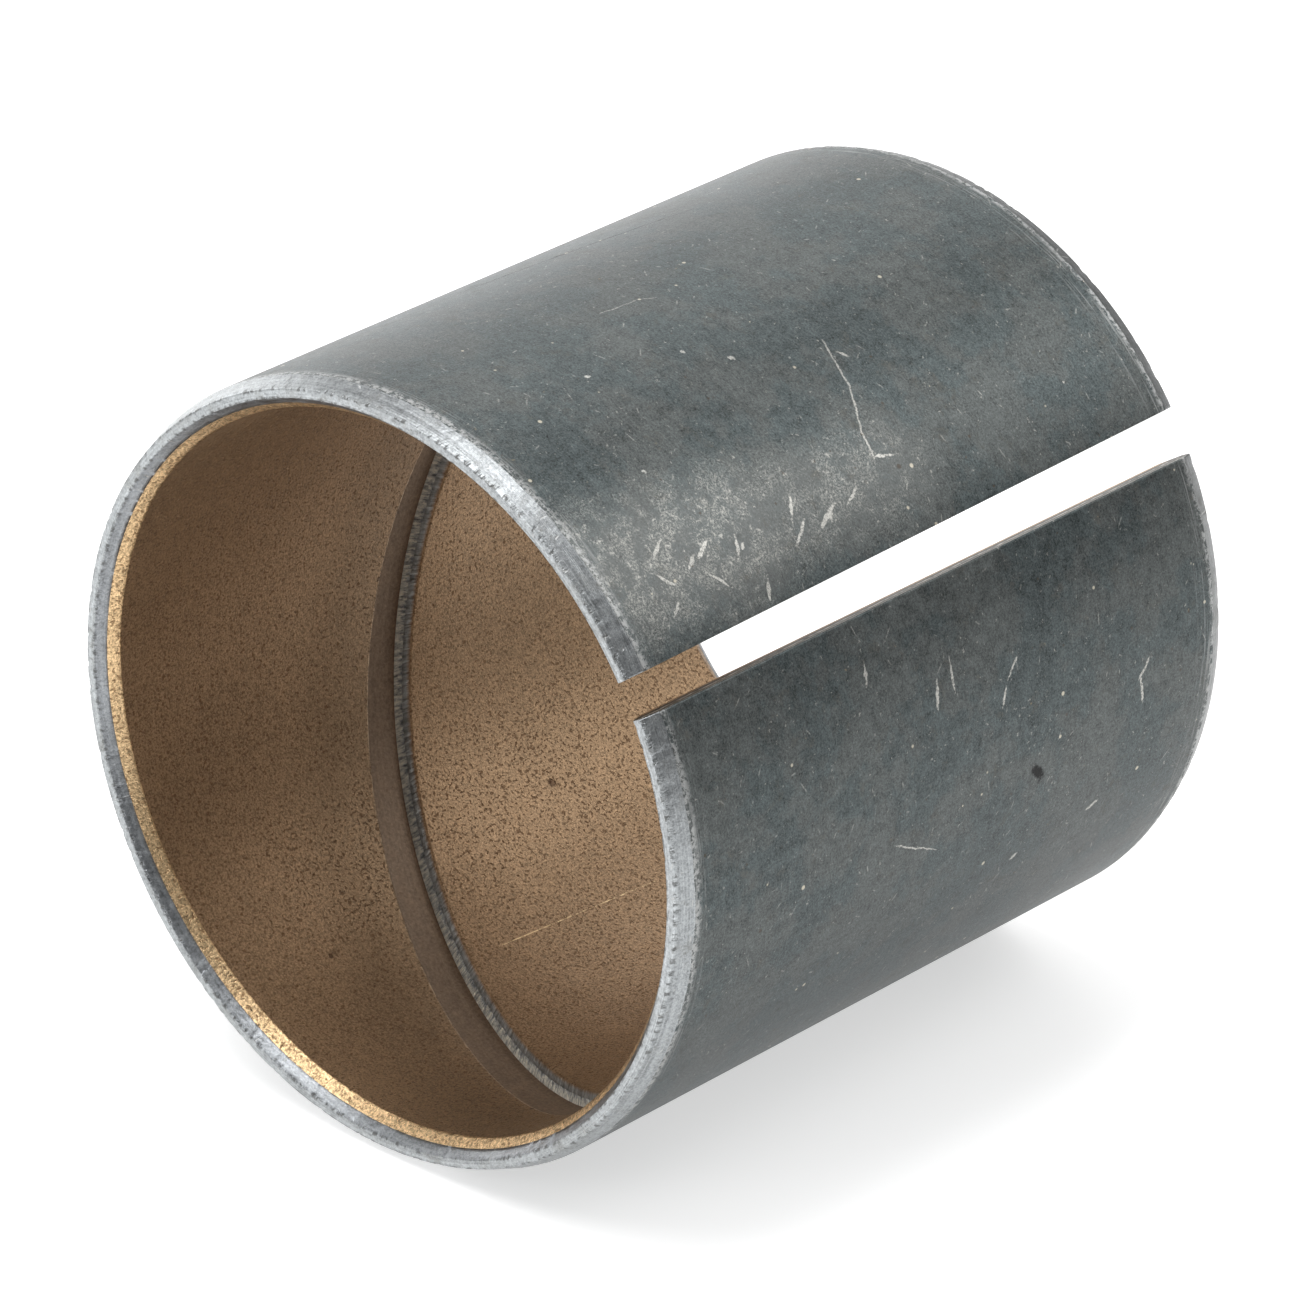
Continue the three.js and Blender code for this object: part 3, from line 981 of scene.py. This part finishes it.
def torn_bronze():
    """The sides of the slot in the lining: bronze dragged down over ridged grey steel."""
    s = Shader("torn_bronze")
    ridges = s.noise(s.combine(s.times(s.around, 3.2), s.times(s.radius, 0.5)), 1.0, 4, 0.7)
    mottle = s.noise(s.place, 1.8, 4, 0.7)
    tone = s.total(1.0, s.about(ridges, 1.2), s.about(mottle, 0.7))
    ragged = s.math("ADD", s.radius, s.about(ridges, 0.3))
    dragged = s.ramp(ragged, BORE_RADIUS + 0.02, BORE_RADIUS + 0.34)
    colour = s.shade(s.mix(dragged, (0.29, 0.19, 0.12), (0.29, 0.285, 0.27)), tone)
    roughness = s.total(0.5, s.about(mottle, 0.2))
    height = s.total(s.about(ridges, 0.08), s.about(mottle, 0.03))
    return s.finish(colour, 1.0, roughness, height)


def sheared_bronze():
    """The lining's cut ends at the seam."""
    s = Shader("sheared_bronze")
    mottle = s.noise(s.place, 1.8, 4, 0.7)
    colour = s.shade((0.42, 0.29, 0.17), s.total(1.0, s.about(mottle, 0.7)))
    roughness = s.total(0.48, s.about(mottle, 0.15))
    return s.finish(colour, 1.0, roughness, s.about(mottle, 0.03))


def pressed_bronze():
    """The groove's floor: brown bronze pressed flatter, with faint lines along the groove."""
    s = Shader("pressed_bronze")
    across = s.across_groove()
    lines = s.noise(s.combine(s.times(s.around, 0.1), s.times(across, 3.0)), 1.0, 3, 0.6)
    mottle = s.noise(s.place, 0.9, 5, 0.7)
    grain = s.noise(s.place, 3.8, 2, 0.8)
    specks = s.dots(0.6, 0.28, 0.35, s.bent(s.place, 0.45, 0.12))
    tone = s.total(1.0, s.about(lines, 0.25), s.about(mottle, 0.4), s.about(grain, 0.7))
    colour = s.shade((0.19, 0.135, 0.092), tone)
    colour = s.mix(s.times(specks, 0.45), colour, (0.09, 0.05, 0.03))
    roughness = s.total(0.55, s.about(mottle, 0.12))
    height = s.total(s.about(lines, 0.008), s.about(mottle, 0.012), s.about(grain, 0.008))
    return s.finish(colour, 0.6, roughness, height)


def steel_materials():
    return [rolled_steel(), turned_steel(), pressed_steel(), sheared_steel()]


def lining_materials():
    return [sintered_bronze(), turned_bronze(), torn_bronze(), sheared_bronze()]


backing = build_backing(steel_materials())
lining = build_lining(lining_materials())
groove_floor = build_groove_floor([pressed_bronze()])

for piece, node, slot in (
    (backing, "steel_backing", "backing_steel"),
    (lining, "bronze_lining", "sintered_bronze"),
    (groove_floor, "groove_floor_bronze", "pressed_bronze"),
):
    face_outwards(piece)
    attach(piece, "root")
    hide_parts(node)


# ---------------------------------------------------------------- floor, light and camera

FLOOR_SIZE = 12  # metres
FLOOR_COLOUR = (0.7, 0.7, 0.7, 1)
FLOOR_GLOW = 0.58  # the table is lit from below as well
LAMP_DISTANCE = 1.2  # metres

# Softboxes: the way from the bushing to each, its width and height in metres, and its watts
SOFTBOXES = {
    "key": ((0.4, 0.66, 0.65), (0.6, 0.6), 4.2),
    "rear_left": ((-0.4, 0.66, 0.63), (0.6, 0.6), 2.5),
    "low_left": ((-0.8, 0.6, 0.1), (0.6, 0.6), 2.0),
    "left": ((-0.97, 0.05, 0.2), (0.6, 0.6), 4.0),
    "overhead": ((-0.1, -0.12, 0.98), (0.3, 0.8), 5.4),
    "overhead_front": ((-0.06, -0.44, 0.90), (0.3, 0.3), 2.1),
    "front_left": ((-0.22, -0.9, 0.36), (0.5, 0.4), 2.2),
}

# The studio's brightness: an even part, and parts that grow towards some directions
WORLD_EVEN = 0.08
WORLD_SIDES = (((0, 0, 1), 0.55), ((-1, 0, 0), 0.5), ((0, -1, 0), 0.15), ((0, 1, 0), 0.15))


def make_floor():
    bpy.ops.mesh.primitive_plane_add(size=FLOOR_SIZE, location=(0, 0, cad_box[0][2]))
    floor = bpy.context.object
    floor.name = "floor"
    material = bpy.data.materials.new("pale_floor")
    material.use_nodes = True
    shader = material.node_tree.nodes["Principled BSDF"]
    shader.inputs["Base Color"].default_value = FLOOR_COLOUR
    shader.inputs["Roughness"].default_value = 0.9
    shader.inputs["Emission Color"].default_value = (1, 1, 1, 1)
    shader.inputs["Emission Strength"].default_value = FLOOR_GLOW
    floor.data.materials.append(material)


def make_softboxes():
    for name, (towards, (width, height), watts) in SOFTBOXES.items():
        lamp = bpy.data.lights.new(name, "AREA")
        lamp.shape = "RECTANGLE"
        lamp.size = width
        lamp.size_y = height
        lamp.energy = watts
        light = bpy.data.objects.new(name, lamp)
        direction = Vector(towards).normalized()
        light.location = direction * LAMP_DISTANCE
        light.rotation_euler = direction.to_track_quat("Z", "Y").to_euler()
        bpy.context.scene.collection.objects.link(light)


def make_world():
    """A pale studio that is brighter overhead and to the left."""
    world = bpy.data.worlds.new("studio")
    world.use_nodes = True
    tree = world.node_tree

    def joined(kind, operation, a, b):
        node = tree.nodes.new(kind)
        node.operation = operation
        for socket, value in zip(node.inputs, (a, b)):
            if isinstance(value, bpy.types.NodeSocket):
                tree.links.new(value, socket)
            else:
                socket.default_value = value
        return node.outputs["Value"]

    direction = tree.nodes.new("ShaderNodeTexCoord").outputs["Generated"]
    strength = WORLD_EVEN
    for towards, amount in WORLD_SIDES:
        facing = joined("ShaderNodeVectorMath", "DOT_PRODUCT", direction, towards)
        facing = joined("ShaderNodeMath", "MAXIMUM", facing, 0)
        bright = joined("ShaderNodeMath", "MULTIPLY", joined("ShaderNodeMath", "POWER", facing, 2), amount)
        strength = joined("ShaderNodeMath", "ADD", bright, strength)

    # The camera sees plain white behind the floor, which adds no light to the bushing
    seen = tree.nodes.new("ShaderNodeLightPath").outputs["Is Camera Ray"]
    background = tree.nodes["Background"]
    tree.links.new(joined("ShaderNodeMath", "MAXIMUM", strength, seen), background.inputs["Strength"])
    background.inputs["Color"].default_value = (1, 1, 1, 1)
    bpy.context.scene.world = world


CAMERA_AZIMUTH = 42.54  # degrees from the front, towards +X
CAMERA_ELEVATION = 26.03
CAMERA_DISTANCE = 0.6258  # metres
CAMERA_TARGET = (0.00009, -0.00018, -0.00044)
CAMERA_LENS = 229.63


def make_camera():
    azimuth, elevation = np.radians(CAMERA_AZIMUTH), np.radians(CAMERA_ELEVATION)
    back = Vector((
        np.cos(elevation) * np.sin(azimuth),
        -np.cos(elevation) * np.cos(azimuth),
        np.sin(elevation),
    ))
    camera = bpy.data.objects.new("camera", bpy.data.cameras.new("camera"))
    camera.data.lens = CAMERA_LENS
    camera.data.sensor_width = 36
    camera.data.clip_start = 0.01
    camera.location = Vector(CAMERA_TARGET) + back * CAMERA_DISTANCE
    camera.rotation_euler = back.to_track_quat("Z", "Y").to_euler()
    bpy.context.scene.collection.objects.link(camera)
    bpy.context.scene.camera = camera


make_floor()
make_softboxes()
make_world()
make_camera()
bpy.context.scene.view_settings.view_transform = "Standard"
